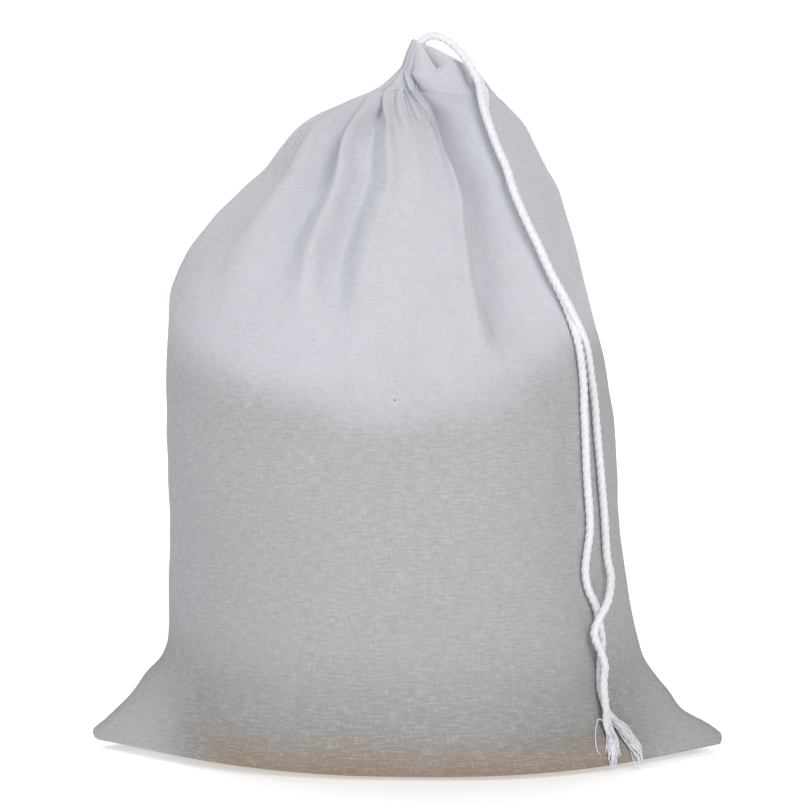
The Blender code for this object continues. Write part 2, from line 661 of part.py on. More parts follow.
def main():
    for old in list(bpy.data.objects):
        bpy.data.objects.remove(old)
    parts = collection_named("strainer_bag")
    cutters = collection_named("cutters")
    cloth = material_of("muslin", CLOTH_COLOUR, 0.95)
    cord = material_of("cotton_cord", CORD_COLOUR, 0.9)
    build_bag(parts, cloth)
    build_hem(parts, cutters, cloth)
    sections = bag_sections()
    build_cords(parts, cord, sections)
    build_frays(parts, cutters, cord, sections)


main()
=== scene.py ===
import math
import random

import bmesh
import bpy
import numpy as np
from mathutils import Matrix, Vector, noise
from mathutils.bvhtree import BVHTree


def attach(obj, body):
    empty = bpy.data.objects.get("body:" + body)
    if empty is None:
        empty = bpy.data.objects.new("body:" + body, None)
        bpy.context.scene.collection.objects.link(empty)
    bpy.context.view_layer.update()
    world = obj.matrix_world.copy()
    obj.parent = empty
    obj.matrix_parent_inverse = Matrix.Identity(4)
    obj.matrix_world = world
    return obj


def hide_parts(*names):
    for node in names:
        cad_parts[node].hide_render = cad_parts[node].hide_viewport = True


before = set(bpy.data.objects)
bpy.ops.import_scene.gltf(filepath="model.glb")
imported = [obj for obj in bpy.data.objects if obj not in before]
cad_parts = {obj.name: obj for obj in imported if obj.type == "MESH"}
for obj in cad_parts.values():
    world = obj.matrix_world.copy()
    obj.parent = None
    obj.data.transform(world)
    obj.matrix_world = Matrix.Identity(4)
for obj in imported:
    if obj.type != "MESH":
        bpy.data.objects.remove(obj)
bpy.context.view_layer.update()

print("frame loaded:", len(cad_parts), "nodes")

# Metres, +Z up, -Y is the front where the drawstring hangs. Turns are degrees from the right
# side, counter-clockwise seen from above: 90 is the back, 180 the left, 270 the front.


studio = dict(
    target=(-0.000465, 0.0, 0.107897), distance=1.3, elevation=7.0, lens=186.4,
    lampAim=(0.0, 0.0, 0.10), skyColour=(0.97, 0.98, 1.0, 1.0), skyStrength=0.17,
    tableColour=(0.80, 0.80, 0.80), nearGlow=0.44, farGlow=0.98, glowFrom=0.35, glowTo=1.60,
    tableReach=40.0,
)
# name, place, size, power, colour
softBoxes = [
    ("key soft box", (0.55, -1.15, 0.95), 0.55, 10.5, (1.0, 0.99, 0.98)),
    ("left soft box", (-0.9, -1.2, 0.5), 0.9, 5.9, (0.96, 0.98, 1.0)),
    ("top soft box", (-0.2, 0.35, 1.3), 0.9, 8.0, (0.98, 0.99, 1.0)),
    ("back soft box", (0.35, 1.35, 0.85), 0.9, 7.0, (1.0, 1.0, 1.0)),
]


def setCamera():
    tilt = math.radians(studio["elevation"])
    target = Vector(studio["target"])
    away = Vector((0.0, -math.cos(tilt), math.sin(tilt)))
    data = bpy.data.cameras.new("camera")
    data.lens = studio["lens"]
    data.sensor_width = 36.0
    data.clip_start = 0.05
    camera = bpy.data.objects.new("camera", data)
    camera.location = target + away * studio["distance"]
    camera.rotation_euler = (-away).to_track_quat("-Z", "Y").to_euler()
    bpy.context.scene.collection.objects.link(camera)
    bpy.context.scene.camera = camera
    # the colours as they are, with no film curve
    bpy.context.scene.view_settings.view_transform = "Standard"


def setLights():
    for name, place, size, power, colour in softBoxes:
        data = bpy.data.lights.new(name, "AREA")
        data.shape = "SQUARE"
        data.size = size
        data.energy = power
        data.color = colour
        lamp = bpy.data.objects.new(name, data)
        lamp.location = place
        aim = Vector(studio["lampAim"]) - Vector(place)
        lamp.rotation_euler = aim.to_track_quat("-Z", "Y").to_euler()
        bpy.context.scene.collection.objects.link(lamp)
    world = bpy.data.worlds.new("studio")
    world.use_nodes = True
    sky = world.node_tree.nodes["Background"]
    sky.inputs["Color"].default_value = studio["skyColour"]
    sky.inputs["Strength"].default_value = studio["skyStrength"]
    bpy.context.scene.world = world


class Link:
    # one output of a node, with the arithmetic that the finishes use
    def __init__(self, finish, socket):
        self.finish, self.socket = finish, socket

    def __add__(self, other):
        return self.finish.maths("ADD", self, other)

    def __radd__(self, other):
        return self.finish.maths("ADD", other, self)

    def __sub__(self, other):
        return self.finish.maths("SUBTRACT", self, other)

    def __rsub__(self, other):
        return self.finish.maths("SUBTRACT", other, self)

    def __mul__(self, other):
        return self.finish.maths("MULTIPLY", self, other)

    def __pow__(self, other):
        return self.finish.maths("POWER", self, other)

    def __abs__(self):
        return self.finish.maths("ABSOLUTE", self)

    def sine(self):
        return self.finish.maths("SINE", self)


class Finish:
    def __init__(self, name):
        self.material = bpy.data.materials.new(name)
        self.material.use_nodes = True
        self.nodes = self.material.node_tree.nodes
        self.links = self.material.node_tree.links
        self.shader = self.nodes["Principled BSDF"]

    def feed(self, socket, value):
        if isinstance(value, Link):
            self.links.new(value.socket, socket)
        else:
            socket.default_value = value

    def node(self, kind, settings=None, sockets=None, out=0):
        made = self.nodes.new(kind)
        for name, value in (settings or {}).items():
            setattr(made, name, value)
        for name, value in (sockets or {}).items():
            self.feed(made.inputs[name], value)
        return Link(self, made.outputs[out])

    def maths(self, operation, first, second=0.0):
        return self.node("ShaderNodeMath", dict(operation=operation), {0: first, 1: second})

    def split(self, vector):
        made = self.nodes.new("ShaderNodeSeparateXYZ")
        self.feed(made.inputs[0], vector)
        return [Link(self, output) for output in made.outputs]

    def joined(self, x, y, z=0.0):
        return self.node("ShaderNodeCombineXYZ", None, {"X": x, "Y": y, "Z": z})

    def grain(self, vector, scale, detail=2.0, roughness=0.5):
        # noise from 0 to 1 about 0.5
        return self.node(
            "ShaderNodeTexNoise", None,
            dict(Vector=vector, Scale=scale, Detail=detail, Roughness=roughness),
        )

    def step(self, value, low, high):
        # 0 below low, 1 above high, soft between
        return self.node(
            "ShaderNodeMapRange", dict(interpolation_type="SMOOTHSTEP"),
            {"Value": value, "From Min": low, "From Max": high},
        )

    def mixed(self, share, first, second):
        made = self.nodes.new("ShaderNodeMix")
        made.data_type = "RGBA"
        self.feed(made.inputs[0], share)
        self.feed(made.inputs[6], first)
        self.feed(made.inputs[7], second)
        return Link(self, made.outputs[2])

    def bump(self, height, distance, strength=1.0):
        self.feed(self.shader.inputs["Normal"], self.node(
            "ShaderNodeBump", None, dict(Height=height, Distance=distance, Strength=strength), 0,
        ))


# upper and lower paint the cloth lighter above the filling and greyer over it, for light through the free
# cloth; low, ear, foot and edge are painted shade, reflection and light near the floor and on the left
# side; inside is painted light through the hem; gap is painted shade between the yarns
muslin = dict(
    upper=(0.585, 0.593, 0.638, 1.0), lower=(0.452, 0.447, 0.464, 1.0), low=(0.325, 0.321, 0.312, 1.0),
    foot=(0.335, 0.242, 0.166, 1.0), ear=(0.540, 0.540, 0.555, 1.0), inside=(0.82, 0.82, 0.85, 1.0),
    edge=(0.475, 0.495, 0.535, 1.0), lightYarn=(0.72, 0.72, 0.74, 1.0), darkYarn=(0.27, 0.265, 0.26, 1.0),
    gap=(0.30, 0.29, 0.28, 1.0), haze=(0.36, 0.37, 0.37, 1.0), husk=(0.17, 0.14, 0.11, 1.0),
    fillLine=0.1125, thread=0.00048, wander=0.00036, sheen=0.12, huskScale=62.0,
    weaveDepth=0.00011, slubDepth=0.00016, slackDepth=0.00035,
)


def muslinFinish(name, rim=None):
    # rim, on the hem, is how far up the cloth the top edge lies
    finish = Finish(name)
    place = finish.node("ShaderNodeTexCoord", None, None, 3)
    cloth = finish.node("ShaderNodeUVMap", dict(uv_map="cloth"))
    x, y, z = finish.split(place)
    u, v, none = finish.split(cloth)
    thread = muslin["thread"]

    # slubs: thick places in the yarns, some across the cloth and some up it
    weft = finish.grain(finish.joined(u * 300.0, v * 1500.0), 1.0, 2.0, 0.6)
    warp = finish.grain(finish.joined(u * 1500.0 + 7.0, v * 330.0), 1.0, 2.0, 0.6)
    cloud = finish.grain(place, 34.0, 4.0, 0.6)
    wander = finish.grain(place, 240.0, 1.0, 0.5)

    # plain weave: one bump for each crossing, and the yarns wander a little
    across = ((u + wander * muslin["wander"]) * (math.pi / thread)).sine()
    along = ((v + wander * muslin["wander"]) * (math.pi / thread)).sine()
    crossing = abs(across * along) ** 0.6

    # painted light: the free cloth above the filling is painted lighter and bluer and the cloth over the
    # filling greyer, for the light that shines through the thin free cloth and falls from above on the
    # sloping shoulders
    edge = muslin["fillLine"] + (cloud - 0.5) * 0.014 + x * 0.06 + x * x * 4.0
    upper = finish.step(z - edge, -0.010, 0.012)
    texture = 1.0 - upper * 0.45
    height = (crossing * muslin["weaveDepth"] + (weft + warp) * muslin["slubDepth"]) * texture
    height = height + finish.grain(place, 150.0, 3.0, 0.55) * muslin["slackDepth"]
    finish.bump(height, 1.0, 0.6 if rim else 1.0)

    colour = finish.mixed(upper, muslin["lower"], muslin["upper"])
    # painted shade and light: in the middle the cloth is painted darker towards the floor, while the ears
    # at the sides, which face up, are painted a lighter grey
    middle = 1.0 - finish.step(abs(x), 0.062, 0.085) * 0.75
    shade = 1.0 - finish.step(z + (cloud - 0.5) * 0.02, 0.006, 0.048)
    colour = finish.mixed(shade * middle * 0.95, colour, muslin["low"])
    colour = finish.mixed((1.0 - middle) * shade * 0.8, colour, muslin["ear"])
    # painted shade and painted reflection: at the floor the cloth is painted a dark warm brown, for the
    # contact shade and the warm light thrown up from a wooden table; most of it stays off the ears
    footShadeAndBounce = 1.0 - finish.step(z + (cloud - 0.5) * 0.008, 0.0015, 0.0185)
    footShadeAndBounce = footShadeAndBounce * finish.step(x + (cloud - 0.5) * 0.02, -0.075, -0.052)
    footShadeAndBounce = footShadeAndBounce * (1.0 - finish.step(x, 0.060, 0.076) * 0.8)
    colour = finish.mixed(footShadeAndBounce * 0.95, colour, muslin["foot"])
    # painted light: low on the left side the cloth is painted a lighter, bluer grey, for the cool fill
    # light falling there
    side = (1.0 - finish.step(x, -0.074, -0.056)) * (1.0 - upper * 0.6) * finish.step(z, 0.030, 0.060)
    colour = finish.mixed(side * 0.55, colour, muslin["edge"])

    # the yarns' own lights and darks, painted shade in the weave's low places between the crossings, and
    # thin grey clouds
    light = finish.step(weft, 0.46, 0.72) + finish.step(warp, 0.50, 0.76) * 0.8
    colour = finish.mixed(light * texture * 0.27, colour, muslin["lightYarn"])
    dark = finish.step(0.0 - weft, -0.46, -0.28) + finish.step(0.0 - warp, -0.44, -0.26) * 0.8
    colour = finish.mixed(dark * texture * 0.28, colour, muslin["darkYarn"])
    colour = finish.mixed((1.0 - crossing) * texture * 0.12, colour, muslin["gap"])
    colour = finish.mixed(finish.step(cloud, 0.42, 0.66) * 0.10, colour, muslin["haze"])

    if rim:
        # daylight comes through the back of the hem, so its inside looks lighter
        low = bag["stitchHeight"]
        backlitInside = finish.step(v, rim, rim + 0.0015) * finish.step(z, low + 0.003, low + 0.005)
        colour = finish.mixed(backlitInside, colour, muslin["inside"])

    # a few brown flecks of seed husk
    cells = dict(feature="F1")
    where = dict(Vector=place, Scale=muslin["huskScale"])
    near = finish.node("ShaderNodeTexVoronoi", cells, where, 0)
    kind = finish.node("ShaderNodeTexVoronoi", cells, where, 1)
    red, green, blue = finish.split(kind)
    fleck = (1.0 - finish.step(near, 0.012, 0.034)) * finish.step(red, 0.62, 0.64)
    colour = finish.mixed(fleck * 0.75, colour, muslin["husk"])
    finish.feed(finish.shader.inputs["Base Color"], colour)
    finish.feed(finish.shader.inputs["Roughness"], 0.98 - crossing * 0.08)
    finish.shader.inputs["Sheen Weight"].default_value = muslin["sheen"]
    finish.shader.inputs["Sheen Roughness"].default_value = 0.5
    finish.shader.inputs["Specular IOR Level"].default_value = 0.2
    return finish.material


def cordFinish(name, colour=(0.86, 0.86, 0.90, 1.0)):
    finish = Finish(name)
    place = finish.node("ShaderNodeTexCoord", None, None, 3)
    fibre = finish.grain(place, 1400.0, 3.0, 0.6)
    patch = finish.grain(place, 90.0, 2.0, 0.5)
    shade = finish.mixed(finish.step(fibre, 0.35, 0.65) * 0.35, colour, (0.66, 0.66, 0.70, 1.0))
    shade = finish.mixed(patch * 0.2, shade, (0.72, 0.70, 0.70, 1.0))
    finish.feed(finish.shader.inputs["Base Color"], shade)
    finish.feed(finish.shader.inputs["Roughness"], 0.82 + fibre * 0.15)
    finish.shader.inputs["Sheen Weight"].default_value = 0.3
    finish.shader.inputs["Specular IOR Level"].default_value = 0.25
    finish.bump(fibre, 0.00025, 0.6)
    return finish.material


def tableFinish():
    finish = Finish("pale table")
    place = finish.node("ShaderNodeTexCoord", None, None, 3)
    cloud = finish.grain(place, 3.0, 2.0, 0.5)
    base = studio["tableColour"]
    colour = finish.mixed(cloud * 0.06, (*base, 1.0), tuple(c * 0.9 for c in base) + (1.0,))
    finish.feed(finish.shader.inputs["Base Color"], colour)
    finish.shader.inputs["Roughness"].default_value = 0.9

    # a light table: it glows a little near the bag, and more where the lamps don't reach
    x, y, z = finish.split(place)
    far = finish.step((x * x + y * y) ** 0.5, studio["glowFrom"], studio["glowTo"])
    near, wide = studio["nearGlow"], studio["farGlow"]
    glow = finish.mixed(far, (near, near, near, 1.0), (wide, wide, wide, 1.0))
    finish.feed(finish.shader.inputs["Emission Color"], glow)
    finish.shader.inputs["Emission Strength"].default_value = 1.0
    return finish.material


def buildTable():
    # one wide sheet that reaches past the horizon of every view
    bpy.ops.object.select_all(action="DESELECT")
    bpy.ops.mesh.primitive_plane_add(size=2 * studio["tableReach"], location=(0.0, 0.0, 0.0))
    table = bpy.context.object
    table.name = "pale_table"
    table.data.materials.append(tableFinish())


# the bag's shape, from the same rows as its solid
bag = dict(
    stitchHeight=0.2055, fillHeight=0.1165, cornerHeight=0.0350, bodyWidth=0.1395, bodyDepth=0.1180,
    cornerSpan=0.1965, cornerForward=0.0070, seamHalf=0.0014, neckWidth=0.0345, neckDepth=0.0230,
    neckShift=0.0088, neckLean=0.0015, foldDepth=0.0036, foldRise=0.30, neckFlattens=0.55, driftHigh=0.90,
    wall=0.0008, girth=0.400, flatLength=0.300, rows=164,
    foldsFrom=236.0, foldsTo=314.0, foldColumns=200, plainColumns=264,
)
hem = dict(
    rise=0.0105, mouthWidth=0.0190, mouthDepth=0.0152, mouthShift=0.0112, mouthLean=0.0042, wall=0.0010,
    edge=0.0022, tunnelHeight=0.46,
    ruffles=26, ruffleDepth=0.0009, rows=26, stitches=58, stitchWidth=0.00028,
    dip=0.0054, dipTurn=258.0, dipLeft=27.0, dipRight=14.0, panelTurn=318.0, panelSpread=44.0,
    slant=95.0, slantTop=0.42, slantTurn=251.0, slantSpread=38.0, backForward=-0.0030,
)

# height, left, right, front, back, pinch, forward
cornerRows = [
    (0.000, -0.10, -0.04, 0.720, 0.700, 0.42, 0.50),
    (0.030, 0.46, 0.60, 0.790, 0.780, 0.60, 0.80),
    (0.080, 0.96, 0.99, 0.835, 0.830, 0.75, 1.00),
    (0.150, 1.00, 1.00, 0.868, 0.868, 0.86, 1.00),
    (0.245, 0.85, 0.86, 0.900, 0.900, 0.95, 0.95),
    (0.390, 0.62, 0.51, 0.930, 0.930, 0.93, 0.75),
    (0.540, 0.43, 0.36, 0.952, 0.952, 0.82, 0.50),
    (0.680, 0.29, 0.20, 0.970, 0.970, 0.62, 0.30),
    (0.840, 0.08, 0.06, 0.986, 0.986, 0.40, 0.15),
]
# height, left, right, front, back, pinch
bodyRows = [
    (0.00, 1.069, 1.034, 0.994, 0.994, 0.26),
    (0.16, 1.061, 0.994, 1.000, 1.000, 0.12),
    (0.38, 1.055, 0.957, 1.000, 1.000, 0.03),
    (0.62, 1.059, 0.939, 1.000, 1.000, 0.00),
    (0.84, 1.068, 0.922, 0.998, 1.000, 0.00),
    (1.00, 1.065, 0.893, 0.984, 0.992, 0.00),
]
# height, left, right, front, back, lean
shoulderRows = [
    (0.070, 0.998, 0.965, 0.955, 0.970, 0.0),
    (0.150, 0.993, 0.914, 0.905, 0.925, 0.0),
    (0.295, 0.983, 0.815, 0.815, 0.835, 0.0),
    (0.370, 0.946, 0.766, 0.770, 0.785, 0.0),
    (0.440, 0.890, 0.722, 0.725, 0.740, 0.0),
    (0.510, 0.815, 0.678, 0.675, 0.690, 0.0),
    (0.585, 0.720, 0.622, 0.618, 0.630, 0.0),
    (0.660, 0.617, 0.562, 0.555, 0.565, 0.0),
    (0.730, 0.516, 0.460, 0.490, 0.500, 0.1),
    (0.800, 0.444, 0.360, 0.415, 0.420, 0.2),
    (0.865, 0.371, 0.280, 0.335, 0.340, 0.4),
    (0.910, 0.275, 0.206, 0.260, 0.260, 0.6),
    (0.950, 0.156, 0.123, 0.170, 0.165, 0.8),
    (0.978, 0.065, 0.055, 0.080, 0.075, 0.9),
    (1.000, 0.000, 0.000, 0.000, 0.000, 1.0),
]
# height, narrow, swell
hemRows = [
    (0.00, 0.00, 0.0), (0.12, 0.12, 0.7), (0.30, 0.30, 1.2), (0.46, 0.44, 1.3),
    (0.64, 0.60, 1.1), (0.82, 0.79, 0.6), (1.00, 1.00, -0.2),
]
# how far the hem's left side falls in: height, metres
leftRows = np.array([
    (0.00, 0.0), (0.10, 0.0016), (0.23, 0.0022), (0.36, 0.0025), (0.50, 0.0027), (0.64, 0.0021),
    (0.80, 0.0011), (1.00, 0.0),
])
# how the cloth's upright lines close up towards the neck: where each lies, in degrees, at these
# shoulder heights
driftHeights = np.array([0.0, 0.50, 0.82, 0.905, 0.955, 1.0])
driftRows = np.array([
    (0.0, 0.0, 0.0, 0.0, 0.0, 0.0), (90.0, 89.5, 88.3, 88.0, 87.0, 86.0),
    (180.0, 176.5, 170.0, 168.0, 163.0, 156.0), (236.0, 231.5, 222.0, 215.0, 204.0, 181.0),
    (248.6, 244.5, 236.8, 231.0, 219.0, 193.0), (257.3, 252.8, 244.7, 239.6, 228.5, 202.0),
    (266.6, 264.3, 259.4, 252.5, 239.0, 216.0), (272.0, 270.0, 265.6, 259.0, 245.0, 227.0),
    (278.0, 277.0, 273.0, 266.5, 253.8, 237.0), (305.0, 298.5, 288.5, 282.8, 271.6, 251.0),
    (319.0, 314.0, 305.0, 302.0, 297.0, 288.0), (360.0, 360.0, 360.0, 360.0, 360.0, 360.0),
])
# the main folds: turn, left flank, right flank, depth, foot
folds = [
    (206.0, 13.0, 15.0, 0.35, 0.30), (242.0, 9.5, 6.2, 1.80, 0.28), (260.4, 5.5, 4.2, 1.50, 0.17),
    (272.8, 3.2, 3.2, 0.50, 0.76), (279.5, 3.4, 4.0, 0.45, 0.72), (306.0, 4.5, 13.5, 2.00, 0.08),
    (30.0, 13.0, 14.0, 0.55, 0.20), (58.0, 12.0, 10.0, 0.85, 0.10), (84.0, 11.0, 11.0, 0.60, 0.30),
    (106.0, 10.0, 11.0, 0.90, 0.06), (132.0, 12.0, 13.0, 0.65, 0.24), (160.0, 13.0, 13.0, 0.60, 0.32),
]
# finer folds that only the cloth shows: turn, half width, depth in mm, foot
fineFolds = [
    (214.0, 4.0, 0.9, 0.62), (226.0, 3.5, 0.7, 0.74), (238.0, 3.0, 0.6, 0.80), (259.5, 1.8, 0.4, 0.74),
    (284.0, 3.0, 0.6, 0.70), (291.0, 2.6, 0.5, 0.78), (297.0, 2.0, 0.4, 0.82), (321.0, 6.0, 0.7, 0.66),
    (340.0, 5.0, 0.5, 0.70), (352.0, 4.0, 0.7, 0.72), (12.0, 4.0, 0.8, 0.70), (20.0, 3.0, 0.7, 0.80),
    (42.0, 3.6, 0.8, 0.72), (50.0, 3.0, 0.7, 0.80), (70.0, 3.6, 0.9, 0.66), (95.0, 3.6, 0.9, 0.70),
    (118.0, 4.0, 0.9, 0.68), (125.0, 3.0, 0.6, 0.80), (144.0, 4.0, 0.9, 0.70), (152.0, 3.0, 0.7, 0.78),
    (170.0, 4.0, 0.8, 0.72), (182.0, 3.4, 0.8, 0.76), (193.0, 4.0, 0.8, 0.74),
]
# the pleats, where the cloth tucks under itself: turn, left half width, right half width, depth in
# mm, foot, full from, how far up the hem they go
pleats = [
    (304.3, 1.1, 2.8, 2.6, 0.34, 0.90, 1.10), (277.6, 1.4, 1.6, 1.5, 0.78, 0.93, 0.12),
    (270.9, 1.3, 1.7, 1.8, 0.82, 0.93, 0.12), (265.5, 2.8, 0.9, 0.8, 0.34, 0.84, 0.12),
    (255.8, 3.8, 1.0, 0.8, 0.34, 0.86, 0.15), (244.0, 1.6, 1.4, 0.7, 0.80, 0.95, 0.20),
    (234.0, 1.8, 1.8, 0.8, 0.72, 0.94, 0.20), (222.0, 1.8, 1.8, 0.7, 0.74, 0.95, 0.25),
    (200.0, 2.4, 2.4, 0.9, 0.60, 0.93, 0.25), (176.0, 2.2, 2.2, 0.8, 0.66, 0.93, 0.25),
    (150.0, 2.4, 2.4, 1.1, 0.50, 0.92, 0.25), (128.0, 2.2, 2.2, 0.9, 0.62, 0.93, 0.25),
    (104.0, 2.4, 2.4, 1.3, 0.40, 0.92, 0.25), (80.0, 2.2, 2.2, 0.9, 0.62, 0.93, 0.25),
    (57.0, 2.4, 2.4, 1.2, 0.44, 0.92, 0.25), (33.0, 2.4, 2.4, 0.9, 0.60, 0.93, 0.25),
    (10.0, 2.4, 2.4, 0.8, 0.66, 0.93, 0.25),
]
crease = dict(turn=323.0, left=9.0, right=6.0, depth=0.0016, top=1.12, foot=0.05)


def clothTurns():
    # the cloth's upright lines, closer together where the front folds are
    first, last = bag["foldsFrom"], bag["foldsTo"]
    dense = np.linspace(first, last, bag["foldColumns"], endpoint=False)
    plain = np.linspace(last, first + 360.0, bag["plainColumns"], endpoint=False)
    return np.sort(np.concatenate([dense, plain]) % 360.0)


def smoothStep(value):
    value = np.clip(value, 0.0, 1.0)
    return value * value * (3 - 2 * value)


def mix(start, end, share):
    return start + (end - start) * share


def turnBetween(turn, centre):
    return (turn - centre + 180.0) % 360.0 - 180.0


def reachOf(away, left, right):
    # how far away something is, counted in its own left or right half width
    return np.abs(away) / np.where(away < 0, left, right)


def furrow(reach, rim):
    # a hollow that is one deep, with a soft rim beside it
    return rim * np.exp(-2.0 * (reach - 1.6) ** 2) - np.exp(-1.6 * reach ** 2)


def rightShare(share):
    # 0 on the left, rising smoothly to 1 on the right
    return (share + np.sqrt(share * share + 0.09)) / 2


def bagSections():
    # each row becomes z, left, right, front, back, pinch, forward, lean, shoulder
    halfWidth, halfDepth = bag["bodyWidth"] / 2, bag["bodyDepth"] / 2
    low, side, tip = bodyRows[0], bodyRows[-1], bag["cornerSpan"] / 2
    made = []
    for height, left, right, front, back, pinch, forward in cornerRows:
        made.append((
            height * bag["cornerHeight"],
            mix(low[1] * halfWidth, tip, left), mix(low[2] * halfWidth, tip, right),
            front * halfDepth, back * halfDepth, pinch, forward * bag["cornerForward"], 0.0, 0.0,
        ))
    for height, left, right, front, back, pinch in bodyRows:
        made.append((
            mix(bag["cornerHeight"], bag["fillHeight"], height), left * halfWidth, right * halfWidth,
            front * halfDepth, back * halfDepth, pinch, 0.0, 0.0, 0.0,
        ))
    for height, left, right, front, back, lean in shoulderRows:
        made.append((
            mix(bag["fillHeight"], bag["stitchHeight"], height),
            mix(bag["neckWidth"] / 2 - bag["neckShift"], side[1] * halfWidth, left),
            mix(bag["neckWidth"] / 2 + bag["neckShift"], side[2] * halfWidth, right),
            mix(bag["neckDepth"] / 2, side[3] * halfDepth, front),
            mix(bag["neckDepth"] / 2, side[4] * halfDepth, back),
            0.0, 0.0, lean * bag["neckLean"], height,
        ))
    return np.array(made)


def smoothRows(sections, count):
    # more rows by a curve that goes through the given ones and never overshoots them
    reach = sections[:, 1:5].mean(axis=1)
    steps = np.hypot(np.diff(sections[:, 0]), np.diff(reach))
    steps = np.maximum(steps, 0.0015)
    knots = np.concatenate([[0.0], np.cumsum(steps)])
    slopes = np.diff(sections, axis=0) / steps[:, None]
    before, after = slopes[:-1], slopes[1:]
    first = (2 * steps[1:] + steps[:-1])[:, None]
    second = (steps[1:] + 2 * steps[:-1])[:, None]
    same = before * after > 0
    safe = np.where(same, first / np.where(same, before, 1.0) + second / np.where(same, after, 1.0), 1.0)
    tangents = np.zeros_like(sections)
    tangents[1:-1] = np.where(same, (first + second) / safe, 0.0)
    tangents[0], tangents[-1] = slopes[0], slopes[-1]
    at = np.linspace(0.0, knots[-1], count)
    low = np.clip(np.searchsorted(knots, at, side="right") - 1, 0, len(steps) - 1)
    span = steps[low][:, None]
    t = ((at - knots[low]) / steps[low])[:, None]
    return (
        (1 + 2 * t) * (1 - t) ** 2 * sections[low] + t * (1 - t) ** 2 * span * tangents[low]
        + t * t * (3 - 2 * t) * sections[low + 1] + t * t * (t - 1) * span * tangents[low + 1]
    )


def drift(turns, shoulder):
    # where the cloth's upright lines lie at this shoulder height, on a smooth curve through the rows
    rows = [np.interp(turns, driftRows[:, 0], column) for column in driftRows.T]
    gaps = np.diff(driftHeights)
    rates = [(upper - lower) / gap for lower, upper, gap in zip(rows, rows[1:], gaps)]
    slopes = [rates[0]] + [(before + after) / 2 for before, after in zip(rates, rates[1:])] + [rates[-1]]
    angle = rows[0] + 0.0 * shoulder
    for k, gap in enumerate(gaps):
        t = np.clip((shoulder - driftHeights[k]) / gap, 0.0, 1.0)
        curve = (
            (1 + 2 * t) * (1 - t) ** 2 * rows[k] + t * (1 - t) ** 2 * gap * slopes[k]
            + t * t * (3 - 2 * t) * rows[k + 1] + t * t * (t - 1) * gap * slopes[k + 1]
        )
        angle = np.where(shoulder >= driftHeights[k], curve, angle)
    return angle


def foldOffset(turns, shoulder):
    offset = np.zeros(np.broadcast(turns, shoulder).shape)
    for turn, left, right, depth, foot in folds:
        strength = smoothStep((shoulder - foot) / bag["foldRise"]) * depth
        offset += furrow(reachOf(turnBetween(turns, turn), left, right), 0.35) * strength
    return offset * bag["foldDepth"]


def fineOffset(turns, shoulder):
    offset = np.zeros(np.broadcast(turns, shoulder).shape)
    for turn, half, depth, foot in fineFolds:
        strength = smoothStep((shoulder - foot) / 0.22) * depth * 0.001
        offset += furrow(reachOf(turnBetween(turns, turn), half, half), 0.4) * strength
    return offset


def sharpOffset(turns, shoulder, height=0.0):
    offset = np.zeros(np.broadcast(turns, shoulder, height).shape)
    for turn, left, right, depth, foot, full, top in pleats:
        strength = smoothStep((shoulder - foot) / (full - foot)) ** 1.5 * (1 - smoothStep(height / top))
        away = turnBetween(turns, turn)
        # a lip stands on the steep side
        steep, narrow = np.where(right > left, -away, away), min(left, right)
        lip = 0.4 * np.exp(-((steep - 2.0 * narrow - 0.8) / (1.5 * narrow + 0.5)) ** 2)
        offset += (lip - np.exp(-reachOf(away, left, right) ** 1.5)) * strength * depth * 0.001
    return offset


def filletOffset(turns, away):
    # the cloth bridges the corner under the hem, most of all in the smooth panel
    return (0.0005 + 0.0012 * panel(turns)) * np.exp(-np.abs(away) ** 1.5)


def creaseOffset(turns, z):
    share = z / bag["fillHeight"]
    strength = smoothStep((share - crease["foot"]) / 0.25) * smoothStep((crease["top"] - share) / 0.3)
    reach = reachOf(turnBetween(turns, crease["turn"]), crease["left"], crease["right"])
    return -crease["depth"] * strength * np.exp(-1.6 * reach ** 2)


def sectionPoints(sections, turns):
    # the cloth's outer face, one row of points for each section
    z, left, right, front, back, pinch, forward, lean, shoulder = (sections[:, i:i + 1] for i in range(9))
    turns = np.asarray(turns, float)[None, :] % 360.0
    angle = np.radians(drift(turns, shoulder))
    across, along = np.cos(angle), np.sin(angle)
    width, centre = (left + right) / 2, (right - left) / 2
    depth = np.where(along > 0, back, front)
    seam = bag["seamHalf"] * pinch
    oval = np.maximum(1 - np.abs(across) ** (2 + pinch), 0.0) ** (0.5 + 1.1 * pinch)
    edge = np.maximum(1 - np.abs(across) ** 24, 0.0) ** 0.5
    side = np.where(np.abs(along) > 1e-9, np.sign(along), 0.0)
    x = centre + width * across
    y = side * ((depth - seam) * oval + seam * edge)
    pressed = bag["neckFlattens"] * smoothStep((shoulder - bag["driftHigh"]) / (1 - bag["driftHigh"]))
    out = foldOffset(turns, shoulder) * (1 - pressed) + fineOffset(turns, shoulder)
    out = out + sharpOffset(turns, shoulder) + filletOffset(turns, (1 - shoulder) / 0.05)
    out = out + np.where(shoulder < 0.3, creaseOffset(turns, z), 0.0)
    nx, ny = across * depth, along * width
    long = np.maximum(np.hypot(nx, ny), 1e-9)
    x = x + nx / long * out
    y = y + ny / long * out
    z = z - lean * rightShare((x - centre) / width)
    y = y - forward * smoothStep(0.5 + across / 2)
    return np.stack([x, y, np.broadcast_to(z, x.shape)], axis=-1)


